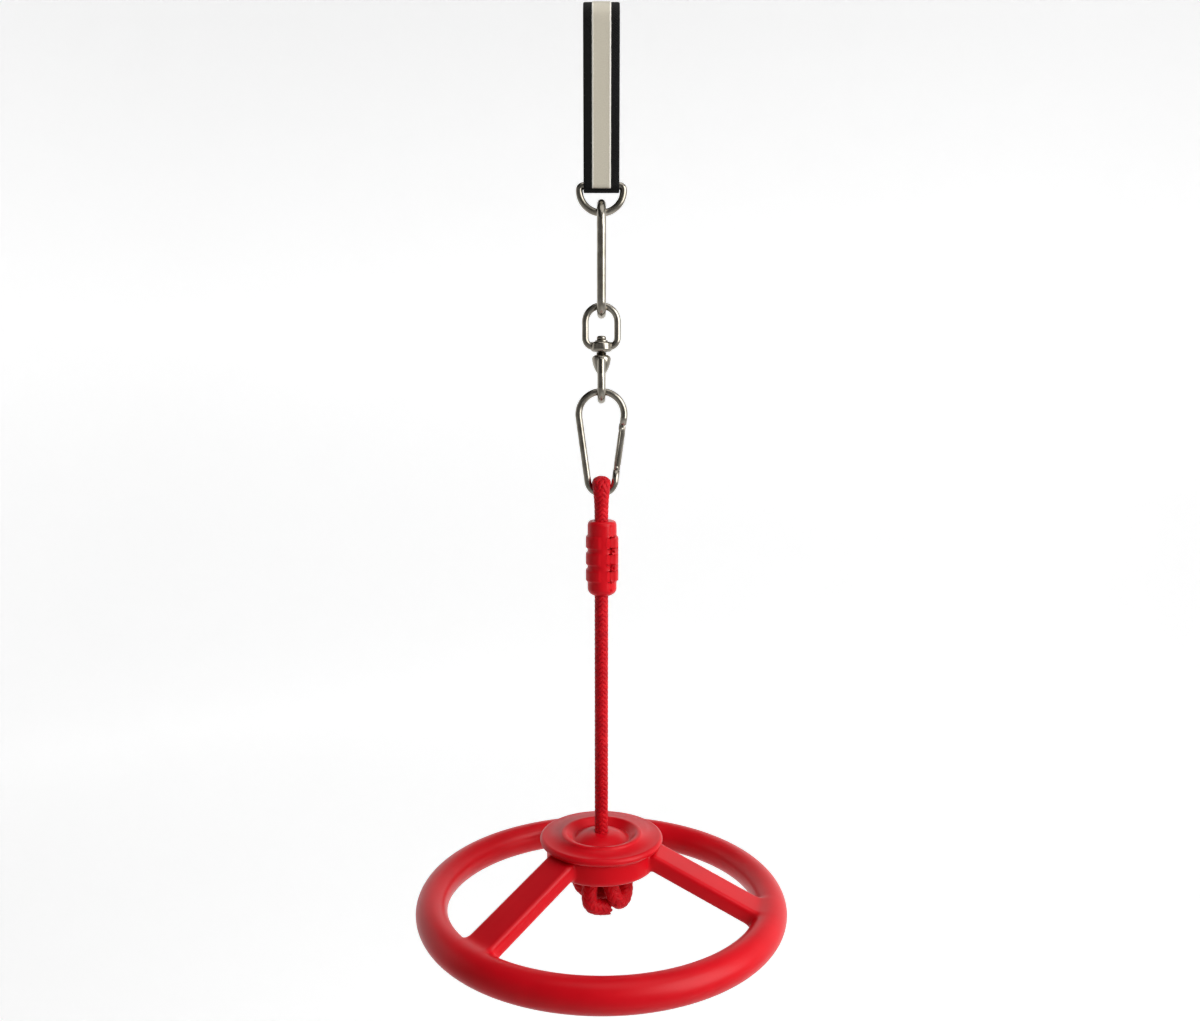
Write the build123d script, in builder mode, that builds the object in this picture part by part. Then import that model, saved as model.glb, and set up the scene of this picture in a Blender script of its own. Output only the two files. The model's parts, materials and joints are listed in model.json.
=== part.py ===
"""Hanging grip wheel for a play line: strap, two snap hooks, swivel, rope and spinning wheel.

Millimetres. The origin is on the axis of the bar that the strap hangs from.
X runs along that bar, Z is up and the front of the object faces -Y.
"""

import os
from math import asin, atan2, cos, radians, sin

from build123d import *

os.makedirs("parts", exist_ok=True)

# ---------------------------------------------------------------- driving dimensions
# clearances
fit_gap = 0.1            # strap to bar
link_gap = 0.3           # between two links that hang in each other
pin_gap = 0.05           # running fit of a rivet or hinge pin
seat_gap = 0.03          # pressed pins and seated pieces
spare = 1.0              # how far a cutting shape runs past what it cuts

# strap
bar_radius = 12.7
webbing_width = 25.0
webbing_thickness = 2.2
strap_drop = 107.1       # bar axis to the straight bar of the D-ring
overlap_top = -24.0
overlap_bottom = -84.0
tape_width = 13.0
tape_thickness = 0.4
tape_front_end = -109.8
tape_back_end = -18.0

# D-ring
d_wire_radius = 2.5
d_half_width = 15.5      # centre of the wire
d_corner_radius = 3.0

# snap hooks: the upper one hangs edge-on, the lower one faces the front
upper_wire_radius = 3.2
upper_top_radius = 16.4
upper_bottom_radius = 10.0
upper_length = 82.4
lower_wire_radius = 2.5
lower_top_radius = 16.2
lower_bottom_radius = 9.85
lower_length = 77.9
hinge_drop = 8.0         # top of the straight leg to the hinge pin
nose_rise = 8.6          # bottom of the straight leg to the end of the gate
gate_end_gap = 0.3
spring_turns = 5
slot_side_gap = 0.15
tongue_root = 0.4        # how deep a flat tongue reaches back into the round wire

# parts of a snap hook as shares of its wire's radius
pin_share = 0.36
pin_length_share = 0.93  # half the length of a pin
tongue_share = 0.72
heel_share = 0.88
heel_offset_share = 0.2
latch_rise_share = 0.8
nose_rise_share = 0.7
nose_width_share = 1.4
spring_radius_share = 0.46
spring_wire_share = 0.09
spring_length_share = 3.4

# swivel
eye_wire_radius = 2.4
eye_half_width = 11.4
eye_height = 34.8
eye_corner_radius = 6.3
boss_radius = 7.5
boss_height = 7.2
boss_rounding = 2.2
rivet_shank_radius = 2.2
rivet_head_radius = 3.4
rivet_head_height = 3.3
rivet_head_rounding = 1.5
swivel_washer_radius = 4.6
swivel_washer_thickness = 0.8
bell_gap = 0.3
collar_radius = 3.5
collar_height = 1.8
bell_radius = 6.8
bell_shoulder = 2.6      # drop from the collar to the bell's widest ring
bell_height = 12.8
bell_foot_radius = 3.2
lower_eye_wire_radius = 2.9
lower_eye_ring_radius = 8.9
lower_eye_root = 5.2     # where the eye's legs leave the bell
lower_eye_root_drop = 6.2
lower_eye_shoulder = 17.0
lower_eye_drop = 33.3    # top of the collar to the bottom of the eye's wire centre

# rope and clamp
rope_radius = 5.0
strand_gap = 0.4         # between the two strands in the clamp
mouth_bend = 40.0        # bends of the rope: at the clamp's mouth, under the hook,
neck_bend = 9.0          # below the clamp and where it runs straight down
exit_bend = 110.0
line_bend = 200.0
clamp_side_radius = 9.9  # half the width of the clamp, and the radius of its rounded front and back
clamp_spread = 3.0       # centres of those radii in front of and behind the axis
clamp_length = 54.0
clamp_neck = 19.5        # top of the rope loop's wire to the clamp
clamp_wall_end = 3.0
clamp_top_rounding = 2.6
clamp_bottom_rounding = 4.5
clamp_seam_angle = -60.0
clamp_tab_height = 8.0
clamp_tab_pitch = 12.0
clamp_tab_proud = 1.7
clamp_tab_root = 0.5
clamp_tab_drop = 0.3     # middle of the tabs under the middle of the clamp
clamp_left_tab = (160.0, 262.0)
clamp_right_tab = (287.0, 355.0)
clamp_block = (301.0, 375.0)
clamp_block_height = 3.6
clamp_lap_gap = 0.1
rope_ease = 34.0         # drop over which the rope comes back under the hook
loop_ease = 0.1
rope_lead_in = 5.0       # straight rope above the clamp
rope_lead_out = 10.0     # straight rope under the clamp
clamp_tail_gap = 1.0
channel_gap = 0.15

# hub and wheel
pivot_height = -569.0    # where the rope bends as the wheel tilts
hub_top = -577.0
flange_radius = 45.5
flange_height = 5.5
crest_outer_radius = 30.0
crest_inner_radius = 26.5
crest_height = 2.0
crest_bevel = 0.6
floor_radius = 20.5
floor_drop = 3.0
dome_rise = 5.2
hub_wall = 4.0
barrel_radius = 40.5
barrel_height = 17.0
barrel_rounding = 4.0
guide_wall = 3.0
cap_wall = 2.0
cap_web = 0.8
rope_hole_gap = 0.3
rim_radius = 125.4
rim_tube_radius = 11.5
rim_wall = 2.5
rim_height = -627.7
parting_drop = 1.3
spoke_width = 25.0
spoke_thickness = 12.0
spoke_rounding = 3.5
spoke_drop = 0.4         # top of a spoke's root under the flange
spoke_count = 3
spoke_first_angle = 105.0
knot_radius = 20.8
knot_height = 38.5
knot_rounding = 15.0
knot_top_rounding = 7.5

# ---------------------------------------------------------------- derived places
strap_inner_top = bar_radius + fit_gap
strap_inner_bottom = d_wire_radius + link_gap
d_arc_height = -strap_drop - d_corner_radius
d_bottom = d_arc_height - d_half_width


def next_link(wire_centre, wire_radius, own_wire_radius):
    """Height of a link's top wire centre when it hangs inside the link above."""
    return wire_centre + wire_radius + link_gap + own_wire_radius


upper_hook_top = next_link(d_bottom, d_wire_radius, upper_wire_radius)
upper_hook_bottom = upper_hook_top - upper_length + 2 * upper_wire_radius
eye_top = next_link(upper_hook_bottom, upper_wire_radius, eye_wire_radius)
boss_bottom = eye_top + eye_wire_radius - eye_height
boss_top = boss_bottom + boss_height
collar_top = boss_bottom - bell_gap
bell_bottom = collar_top - collar_height - bell_height
lower_eye_bottom = collar_top - lower_eye_drop
lower_eye_centre = lower_eye_bottom + lower_eye_ring_radius
lower_hook_top = next_link(lower_eye_bottom, lower_eye_wire_radius, lower_wire_radius)
lower_hook_bottom = lower_hook_top - lower_length + 2 * lower_wire_radius
loop_radius = lower_wire_radius + link_gap + rope_radius
loop_top = lower_hook_bottom + loop_radius
clamp_top = lower_hook_bottom - clamp_neck
clamp_bottom = clamp_top - clamp_length
strand_offset = rope_radius + strand_gap / 2
rope_hole_radius = rope_radius + rope_hole_gap
flange_bottom = hub_top - flange_height
crest_top = hub_top + crest_height
floor_edge = hub_top - floor_drop
barrel_bottom = flange_bottom - barrel_height
barrel_floor_top = barrel_bottom + hub_wall
parting_height = rim_height - parting_drop
knot_top = barrel_bottom - link_gap


# ---------------------------------------------------------------- shared shapes
def leaning(top, bottom, drop):
    """Lean of the straight sides that touch two circles, one `drop` under the other."""
    return asin((top - bottom) / drop)


def loop_edges(top, bottom, drop):
    """Closed outline round two circles, one under the other."""
    lean = leaning(top, bottom, drop)
    right_top = (top * cos(lean), -top * sin(lean))
    right_bottom = (bottom * cos(lean), -drop - bottom * sin(lean))
    left_top = (-right_top[0], right_top[1])
    left_bottom = (-right_bottom[0], right_bottom[1])
    with BuildLine() as outline:
        ThreePointArc(left_top, (0, top), right_top)
        Line(right_top, right_bottom)
        ThreePointArc(right_bottom, (0, -drop - bottom), left_bottom)
        Line(left_bottom, left_top)
    return outline.edges()


def strap_layer(inner_offset, thickness, width):
    """A band round the bar and the D-ring, `inner_offset` outside the strap's inner face."""
    near_top = strap_inner_top + inner_offset
    near_bottom = strap_inner_bottom + inner_offset
    with BuildPart() as layer:
        with BuildSketch(Plane.YZ):
            make_face(loop_edges(near_top + thickness, near_bottom + thickness, strap_drop))
            make_face(loop_edges(near_top, near_bottom, strap_drop), mode=Mode.SUBTRACT)
        extrude(amount=width / 2, both=True)
    return layer.part


def finish(piece, name):
    """Label a finished piece and write it to its own file."""
    piece.label = name
    export_step(piece, f"parts/{name}.step")


# ---------------------------------------------------------------- strap
with BuildPart() as strap_webbing:
    add(strap_layer(0, webbing_thickness, webbing_width))
finish(strap_webbing.part, "strap_webbing")

# the tail of the webbing, sewn flat on the back leg
with BuildPart() as strap_overlap:
    add(strap_layer(webbing_thickness, webbing_thickness, webbing_width))
    with BuildSketch(Plane.XY.offset(overlap_bottom)):
        with Locations((0, 2 * bar_radius)):
            Rectangle(2 * webbing_width, 4 * bar_radius)
    extrude(amount=overlap_top - overlap_bottom, mode=Mode.INTERSECT)
finish(strap_overlap.part, "strap_overlap")

# reflective tape: up the front leg, over the bar and a little down the back
with BuildPart() as reflective_tape:
    add(strap_layer(webbing_thickness, tape_thickness, tape_width))
    with BuildSketch(Plane.XY.offset(tape_front_end)):
        Rectangle(2 * webbing_width, 8 * bar_radius)
    extrude(amount=-strap_drop, mode=Mode.SUBTRACT)
    with BuildSketch(Plane.XY.offset(tape_back_end)):
        with Locations((0, 2 * bar_radius)):
            Rectangle(2 * webbing_width, 4 * bar_radius)
    extrude(amount=-strap_drop, mode=Mode.SUBTRACT)
finish(reflective_tape.part, "reflective_tape")


# ---------------------------------------------------------------- D-ring
with BuildPart() as d_ring:
    with BuildLine(Plane.XZ) as d_path:
        bar_half = d_half_width - d_corner_radius
        Line((-bar_half, -strap_drop), (bar_half, -strap_drop))
        RadiusArc((bar_half, -strap_drop), (d_half_width, d_arc_height), d_corner_radius)
        ThreePointArc((d_half_width, d_arc_height), (0, d_bottom), (-d_half_width, d_arc_height))
        RadiusArc((-d_half_width, d_arc_height), (-bar_half, -strap_drop), d_corner_radius)
    with BuildSketch(Plane(origin=(-bar_half, 0, -strap_drop), z_dir=(1, 0, 0))):
        Circle(d_wire_radius)
    sweep(path=d_path.wire())
finish(d_ring.part, "d_ring")


# ---------------------------------------------------------------- snap hooks
def snap_hook(prefix, top_height, facing, wire_radius, top_radius, bottom_radius, length):
    """A pear-shaped wire hook with a sprung gate on its right leg.

    `facing` points out of the hook's flat side and its top wire centre is at `top_height`.
    The two radii are those of the wire's centre line.
    """
    drop = length - 2 * wire_radius - top_radius - bottom_radius
    face = Plane(origin=(0, 0, top_height - top_radius), x_dir=Vector(0, 0, 1).cross(Vector(facing)),
                 z_dir=facing)
    lean = leaning(top_radius, bottom_radius, drop)
    outward = (cos(lean), -sin(lean))
    leg_top = (top_radius * cos(lean), -top_radius * sin(lean))
    leg_length = drop * cos(lean)
    corner = face.from_local_coords((leg_top[0], leg_top[1], 0))
    out_dir = face.from_local_coords((*outward, 0)) - face.origin
    leg = Plane(origin=corner, x_dir=out_dir, z_dir=facing)

    pin_radius = pin_share * wire_radius
    tongue = tongue_share * wire_radius
    heel_radius = heel_share * wire_radius
    heel_offset = heel_offset_share * wire_radius
    body_end = -hinge_drop + wire_radius + gate_end_gap
    gate_end = -leg_length + nose_rise
    latch = gate_end + latch_rise_share * wire_radius
    nose_top = latch + nose_rise_share * wire_radius
    slot = tongue + 2 * slot_side_gap
    heel_slot_end = -hinge_drop - heel_radius - gate_end_gap
    spring_radius = spring_radius_share * wire_radius
    spring_wire = spring_wire_share * wire_radius
    spring_length = spring_length_share * wire_radius
    bore_end = -hinge_drop - heel_radius - spring_length - fit_gap

    def on_leg(along):
        return Plane(origin=leg.from_local_coords((0, along, 0)), x_dir=facing, z_dir=leg.y_dir)

    # bent wire with a flat tongue at the hinge and a notched tongue at the nose
    with BuildPart() as body:
        with BuildLine(face) as path:
            down = (-sin(lean), -cos(lean))
            nose = gate_end - gate_end_gap
            hinge_end = (leg_top[0] - down[0] * body_end, leg_top[1] - down[1] * body_end)
            nose_end = (leg_top[0] - down[0] * nose, leg_top[1] - down[1] * nose)
            leg_bottom = (bottom_radius * cos(lean), -drop - bottom_radius * sin(lean))
            far_bottom = (-leg_bottom[0], leg_bottom[1])
            far_top = (-leg_top[0], leg_top[1])
            Line(nose_end, leg_bottom)
            ThreePointArc(leg_bottom, (0, -drop - bottom_radius), far_bottom)
            Line(far_bottom, far_top)
            ThreePointArc(far_top, (0, top_radius), leg_top)
            Line(leg_top, hinge_end)
        with BuildSketch(on_leg(nose)):
            Circle(wire_radius)
        sweep(path=path.wire())
        with BuildSketch(leg):
            with Locations((-heel_offset, -hinge_drop)):
                Circle(heel_radius)
            with Locations((-heel_offset, (body_end - hinge_drop) / 2)):
                Rectangle(2 * heel_radius, body_end + hinge_drop + tongue_root)
            with Locations((0, -hinge_drop)):
                Circle(pin_radius + pin_gap, mode=Mode.SUBTRACT)
        extrude(amount=tongue / 2, both=True)
        with BuildSketch(leg):
            with Locations((0, (nose + nose_top - tongue_root) / 2)):
                Rectangle(nose_width_share * wire_radius, nose_top - nose + tongue_root)
            with Locations((0, latch)):
                Circle(pin_radius + slot_side_gap, mode=Mode.SUBTRACT)
            with Locations((-wire_radius / 2, latch)):
                Rectangle(wire_radius, 2 * (pin_radius + slot_side_gap), mode=Mode.SUBTRACT)
        extrude(amount=tongue / 2, both=True)
    finish(body.part, f"{prefix}_body")

    # round gate, slotted at both ends and bored for its spring
    with BuildPart() as gate:
        with BuildSketch(on_leg(gate_end)):
            Circle(wire_radius)
        extrude(amount=-hinge_drop + wire_radius - gate_end)
        with BuildSketch(leg):
            with Locations((0, (gate_end - hinge_drop) / 2)):
                Rectangle(2 * wire_radius, -hinge_drop - gate_end)
            with Locations((0, -hinge_drop)):
                Circle(wire_radius)
        extrude(amount=wire_radius, both=True, mode=Mode.INTERSECT)
        with BuildSketch(leg):
            with Locations((0, (heel_slot_end + spare) / 2)):
                Rectangle(3 * wire_radius, spare - heel_slot_end)
            slot_end = nose_top + gate_end_gap
            with Locations((0, (slot_end + gate_end - spare) / 2)):
                Rectangle(3 * wire_radius, slot_end - gate_end + spare)
        extrude(amount=slot / 2, both=True, mode=Mode.SUBTRACT)
        with BuildSketch(leg):
            with Locations((0, -hinge_drop), (0, latch)):
                Circle(pin_radius + seat_gap)
        extrude(amount=wire_radius, both=True, mode=Mode.SUBTRACT)
        with BuildSketch(on_leg(bore_end)):
            Circle(spring_radius + spring_wire + fit_gap)
        extrude(amount=-hinge_drop - bore_end, mode=Mode.SUBTRACT)
    finish(gate.part, f"{prefix}_gate")

    for name, along in (("hinge_pin", -hinge_drop), ("latch_pin", latch)):
        with BuildPart() as pin:
            with BuildSketch(leg):
                with Locations((0, along)):
                    Circle(pin_radius)
            extrude(amount=pin_length_share * wire_radius, both=True)
        finish(pin.part, f"{prefix}_{name}")

    # compression spring between the gate's bore and the heel of the hook
    with BuildPart() as spring:
        foot = bore_end + spring_wire + fit_gap
        coil_height = spring_length - 2 * spring_wire - fit_gap
        with BuildLine() as coil:
            Helix(pitch=coil_height / spring_turns, height=coil_height, radius=spring_radius,
                  center=on_leg(foot).origin, direction=leg.y_dir)
        with BuildSketch(Plane(origin=coil.wire() @ 0, z_dir=coil.wire() % 0)):
            Circle(spring_wire)
        sweep(path=coil.wire(), is_frenet=True)
    finish(spring.part, f"{prefix}_gate_spring")


snap_hook("upper_hook", upper_hook_top, (1, 0, 0), upper_wire_radius,
          upper_top_radius, upper_bottom_radius, upper_length)
snap_hook("lower_hook", lower_hook_top, (0, -1, 0), lower_wire_radius,
          lower_top_radius, lower_bottom_radius, lower_length)


# ---------------------------------------------------------------- swivel
eye_arc_height = eye_top - eye_half_width
eye_bar_height = (boss_top + boss_bottom) / 2
with BuildPart() as swivel_upper_eye:
    with BuildLine(Plane.XZ) as eye_path:
        left = (-eye_half_width, eye_arc_height)
        right = (eye_half_width, eye_arc_height)
        ThreePointArc(left, (0, eye_top), right)
        FilletPolyline(right, (eye_half_width, eye_bar_height), (-eye_half_width, eye_bar_height), left,
                       radius=eye_corner_radius)
    with BuildSketch(Plane(origin=(-eye_half_width, 0, eye_arc_height), z_dir=(0, 0, 1))):
        Circle(eye_wire_radius)
    sweep(path=eye_path.wire())
    with BuildSketch(Plane.XY.offset(boss_bottom)):
        Circle(boss_radius)
    extrude(amount=boss_height)
    boss_edges = swivel_upper_eye.edges().filter_by(GeomType.CIRCLE).filter_by(
        lambda edge: abs(edge.radius - boss_radius) < seat_gap)
    fillet(boss_edges, boss_rounding)
    with BuildSketch(Plane.XY.offset(boss_bottom)):
        Circle(rivet_shank_radius + pin_gap)
    extrude(amount=boss_height + spare, mode=Mode.SUBTRACT)
finish(swivel_upper_eye.part, "swivel_upper_eye")

with BuildPart() as swivel_washer:
    with BuildSketch(Plane.XY.offset(boss_top + pin_gap)):
        Circle(swivel_washer_radius)
        Circle(rivet_shank_radius + seat_gap, mode=Mode.SUBTRACT)
    extrude(amount=swivel_washer_thickness)
finish(swivel_washer.part, "swivel_washer")

# the rivet is pressed into the lower eye and turns with it
head_seat = boss_top + pin_gap + swivel_washer_thickness
with BuildPart() as swivel_rivet:
    with BuildSketch(Plane.XY.offset(bell_bottom)):
        Circle(rivet_shank_radius)
    extrude(amount=head_seat - bell_bottom)
    with BuildSketch(Plane.XY.offset(head_seat)):
        Circle(rivet_head_radius)
    extrude(amount=rivet_head_height)
    fillet(swivel_rivet.edges().group_by(Axis.Z)[-1], rivet_head_rounding)
finish(swivel_rivet.part, "swivel_rivet")

with BuildPart() as swivel_lower_eye:
    with BuildSketch(Plane.XZ):
        with BuildLine():
            neck_height = collar_top - collar_height
            widest = (bell_radius, neck_height - bell_shoulder)
            foot = (bell_foot_radius, bell_bottom)
            Polyline((0, bell_bottom), (0, collar_top), (collar_radius, collar_top), (collar_radius, neck_height))
            ThreePointArc((collar_radius, neck_height), (0.86 * bell_radius, neck_height - 0.3 * bell_shoulder),
                          widest)
            ThreePointArc(widest, (0.9 * bell_radius, neck_height - 0.5 * bell_height), foot)
            Line(foot, (0, bell_bottom))
        make_face()
    revolve(axis=Axis.Z)
    with BuildLine(Plane.YZ) as lower_eye_path:
        root_height = collar_top - lower_eye_root_drop
        shoulder_height = collar_top - lower_eye_shoulder
        near = (-lower_eye_ring_radius, lower_eye_centre)
        far = (lower_eye_ring_radius, lower_eye_centre)
        FilletPolyline((-lower_eye_root, root_height), (-lower_eye_ring_radius, shoulder_height), near,
                       radius=lower_eye_ring_radius)
        ThreePointArc(near, (0, lower_eye_bottom), far)
        FilletPolyline(far, (lower_eye_ring_radius, shoulder_height), (lower_eye_root, root_height),
                       radius=lower_eye_ring_radius)
    start = lower_eye_path.wire()
    with BuildSketch(Plane(origin=start @ 0, z_dir=start % 0)):
        Circle(lower_eye_wire_radius)
    sweep(path=start)
    for end in (-lower_eye_root, lower_eye_root):
        with Locations((0, end, root_height)):
            Sphere(lower_eye_wire_radius)
    with BuildSketch(Plane.XY.offset(bell_bottom)):
        Circle(rivet_shank_radius + seat_gap)
    extrude(amount=collar_top - bell_bottom + spare, mode=Mode.SUBTRACT)
finish(swivel_lower_eye.part, "swivel_lower_eye")


# ---------------------------------------------------------------- rope
tail_end = clamp_bottom + clamp_wall_end + clamp_tail_gap
loop_half = loop_radius + loop_ease
under_hook = lower_hook_bottom - spare
in_line = clamp_bottom - rope_lead_out
route = [
    (strand_offset, tail_end),
    (strand_offset, clamp_top + rope_lead_in),
    (loop_half, under_hook),
    (loop_half, loop_top),
    (-loop_half, loop_top),
    (-loop_half, under_hook),
    (-strand_offset, clamp_top + rope_lead_in),
    (-strand_offset, in_line),
    (0, in_line - rope_ease),
    (0, pivot_height),
]
bends = [mouth_bend, neck_bend, loop_radius, loop_radius, neck_bend, mouth_bend, exit_bend, line_bend]

with BuildPart() as rope:
    with BuildLine(Plane.YZ) as rope_path:
        FilletPolyline(*route, radius=bends)
    with BuildSketch(Plane(origin=(0, *route[0]), z_dir=(0, 0, 1))):
        Circle(rope_radius)
    sweep(path=rope_path.wire())
    with Locations((0, 0, pivot_height)):
        Sphere(rope_radius)
rope_length = rope_path.wire().length
print("rope bends (mm):", bends)
print(f"rope length {rope_length:.1f} mm, volume {rope.part.volume:.0f} mm3")
finish(rope.part, "rope")

# the stretch that goes through the hub, below the bend
lower_rope_top = pivot_height - rope_radius - rope_hole_gap
with BuildPart() as rope_in_hub:
    with BuildSketch(Plane.XY.offset(knot_top)):
        Circle(rope_radius)
    extrude(amount=lower_rope_top - knot_top)
finish(rope_in_hub.part, "rope_in_hub")

with BuildPart() as rope_knot:
    with BuildSketch(Plane.XY.offset(knot_top)):
        Circle(knot_radius)
    extrude(amount=-knot_height)
    fillet(rope_knot.edges().filter_by(GeomType.CIRCLE).sort_by(Axis.Z)[0], knot_rounding)
    fillet(rope_knot.edges().filter_by(GeomType.CIRCLE).sort_by(Axis.Z)[-1], knot_top_rounding)
finish(rope_knot.part, "rope_knot")


# ---------------------------------------------------------------- rope clamp
clamp_middle = clamp_bottom + clamp_length / 2 - clamp_tab_drop


def clamp_outline(proud):
    """The clamp's outline seen from above, `proud` outside its plain wall."""
    return SlotCenterToCenter(2 * clamp_spread, 2 * (clamp_side_radius + proud), rotation=90)


def clamp_sector(first, last, height, middle):
    """A raised tab or block between two angles, in degrees from +X."""
    far = 4 * clamp_side_radius
    points = [(far * cos(radians(a)), far * sin(radians(a))) for a in (first, (first + last) / 2, last)]
    with BuildPart() as sector:
        with BuildSketch(Plane.XY.offset(middle)):
            clamp_outline(clamp_tab_proud)
            Polygon((0, 0), *points, align=None, mode=Mode.INTERSECT)
        extrude(amount=height / 2, both=True)
        with BuildSketch(Plane.XY.offset(middle)):
            clamp_outline(-clamp_tab_root)
        extrude(amount=height / 2, both=True, mode=Mode.SUBTRACT)
    return sector.part


def clamp_half(name, side):
    """One half of the clamp; `side` is -1 for the front half and 1 for the back half."""
    seam = Plane(origin=(0, 0, clamp_bottom), x_dir=Vector(1, 0, 0).rotate(Axis.Z, clamp_seam_angle),
                 z_dir=(0, 0, 1))
    turn = radians(clamp_seam_angle)
    width = 4 * clamp_side_radius
    with BuildPart() as half:
        with BuildSketch(Plane.XY.offset(clamp_bottom)):
            clamp_outline(0)
        extrude(amount=clamp_length)
        fillet(half.edges().group_by(Axis.Z)[-1], clamp_top_rounding)
        fillet(half.edges().group_by(Axis.Z)[0], clamp_bottom_rounding)
        with BuildSketch(seam):
            with Locations((0, side * width / 2)):
                Rectangle(2 * width, width)
        extrude(amount=clamp_length, mode=Mode.INTERSECT)
        if side < 0:
            # the tabs grow from the front half, and the right ones lap over the seam
            for step in (-1, 0, 1):
                for tab in (clamp_left_tab, clamp_right_tab):
                    add(clamp_sector(*tab, clamp_tab_height, clamp_middle + step * clamp_tab_pitch))
            with BuildSketch(Plane.XY.offset(clamp_bottom)):
                clamp_outline(clamp_lap_gap)
                with Locations((-sin(turn) * width / 2, cos(turn) * width / 2)):
                    Rectangle(2 * width, width, rotation=clamp_seam_angle, mode=Mode.INTERSECT)
            extrude(amount=clamp_length, mode=Mode.SUBTRACT)
        else:
            # blocks of the back half fill the rows between the tabs
            for step in (-0.5, 0.5):
                add(clamp_sector(*clamp_block, clamp_block_height, clamp_middle + step * clamp_tab_pitch))
        with BuildSketch(Plane.XY.offset(clamp_bottom + clamp_wall_end)):
            SlotCenterToCenter(2 * strand_offset, 2 * (rope_radius + channel_gap), rotation=90)
        extrude(amount=clamp_length, mode=Mode.SUBTRACT)
        with BuildSketch(Plane.XY.offset(clamp_bottom)):
            with Locations((0, -strand_offset)):
                Circle(rope_radius + channel_gap)
        extrude(amount=clamp_length, mode=Mode.SUBTRACT)
    finish(half.part, name)


clamp_half("rope_clamp_front", -1)
clamp_half("rope_clamp_back", 1)


# ---------------------------------------------------------------- wheel
with BuildPart() as hub_cap:
    with BuildSketch(Plane.XZ):
        with BuildLine():
            edge = flange_height / 2
            spigot = barrel_radius - hub_wall - pin_gap
            guide = rope_hole_radius + guide_wall
            inner_top = flange_bottom - hub_wall
            web_bottom = flange_bottom - cap_web
            dome_top = (rope_hole_radius, floor_edge + dome_rise)
            dome_low = (floor_radius, floor_edge)
            ThreePointArc(dome_top, (0.6 * floor_radius, floor_edge + 0.8 * dome_rise), dome_low)
            Polyline(dome_low, (crest_inner_radius - crest_bevel, crest_top - crest_bevel),
                     (crest_inner_radius, crest_top), (crest_outer_radius - crest_bevel, crest_top),
                     (crest_outer_radius, crest_top - crest_bevel), (crest_outer_radius + crest_bevel, hub_top),
                     (flange_radius - edge, hub_top))
            ThreePointArc((flange_radius - edge, hub_top), (flange_radius, hub_top - edge),
                          (flange_radius - edge, flange_bottom))
            Polyline((flange_radius - edge, flange_bottom), (spigot, flange_bottom),
                     (spigot, inner_top), (spigot - guide_wall, inner_top),
                     (spigot - guide_wall, web_bottom), (floor_radius + spare, web_bottom),
                     (guide, flange_bottom + cap_wall), (guide, barrel_floor_top),
                     (rope_hole_radius, barrel_floor_top), dome_top)
        make_face()
    revolve(axis=Axis.Z)
finish(hub_cap.part, "hub_cap")


spoke_inner = barrel_radius - hub_wall / 2
spoke_start_height = flange_bottom - spoke_drop - spoke_thickness / 2
spoke_slope = atan2(spoke_start_height - rim_height, rim_radius - spoke_inner)
spoke_length = (rim_radius - spoke_inner) / cos(spoke_slope)

with BuildPart() as spokes:
    for number in range(spoke_count):
        angle = spoke_first_angle + number * 360 / spoke_count
        around = Vector(1, 0, 0).rotate(Axis.Z, angle)
        start = Vector(0, 0, spoke_start_height) + around * spoke_inner
        along = around * cos(spoke_slope) - Vector(0, 0, sin(spoke_slope))
        across = Vector(0, 0, 1).cross(around)
        with BuildSketch(Plane(origin=start, x_dir=across, z_dir=along)):
            RectangleRounded(spoke_width, spoke_thickness, spoke_rounding)
        extrude(amount=spoke_length)

with BuildPart() as wheel_upper_shell:
    with Locations((0, 0, rim_height)):
        Torus(rim_radius, rim_tube_radius)
    with BuildSketch(Plane.XY.offset(parting_height)):
        Circle(rim_radius + 2 * rim_tube_radius)
    extrude(amount=-2 * rim_tube_radius, mode=Mode.SUBTRACT)
    add(spokes.part)
    with Locations((0, 0, rim_height)):
        Torus(rim_radius, rim_tube_radius - rim_wall, mode=Mode.SUBTRACT)
    with BuildSketch(Plane.XY.offset(barrel_bottom)):
        Circle(barrel_radius)
    extrude(amount=barrel_height)
    bottom_edge = wheel_upper_shell.edges().filter_by(GeomType.CIRCLE).filter_by_position(
        Axis.Z, barrel_bottom - 0.01, barrel_bottom + 0.01)
    fillet(bottom_edge, barrel_rounding)
    with BuildSketch(Plane.XY.offset(barrel_floor_top)):
        Circle(barrel_radius - hub_wall)
    extrude(amount=barrel_height, mode=Mode.SUBTRACT)
    with BuildSketch(Plane.XY.offset(barrel_bottom)):
        Circle(rope_hole_radius)
    extrude(amount=barrel_height, mode=Mode.SUBTRACT)
finish(wheel_upper_shell.part, "wheel_upper_shell")

with BuildPart() as wheel_lower_shell:
    with Locations((0, 0, rim_height)):
        Torus(rim_radius, rim_tube_radius)
        Torus(rim_radius, rim_tube_radius - rim_wall, mode=Mode.SUBTRACT)
    with BuildSketch(Plane.XY.offset(parting_height)):
        Circle(rim_radius + 2 * rim_tube_radius)
    extrude(amount=2 * rim_tube_radius, mode=Mode.SUBTRACT)
    add(spokes.part, mode=Mode.SUBTRACT)
finish(wheel_lower_shell.part, "wheel_lower_shell")
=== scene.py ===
"""Hanging grip wheel: strap, snap hooks, swivel, braided rope with its clamp and knot, and a moulded wheel."""

import json
import math

import bmesh
import bpy
import numpy as np
from bpy.props import FloatProperty, FloatVectorProperty, IntProperty, PointerProperty
from mathutils import Matrix, Vector

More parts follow.
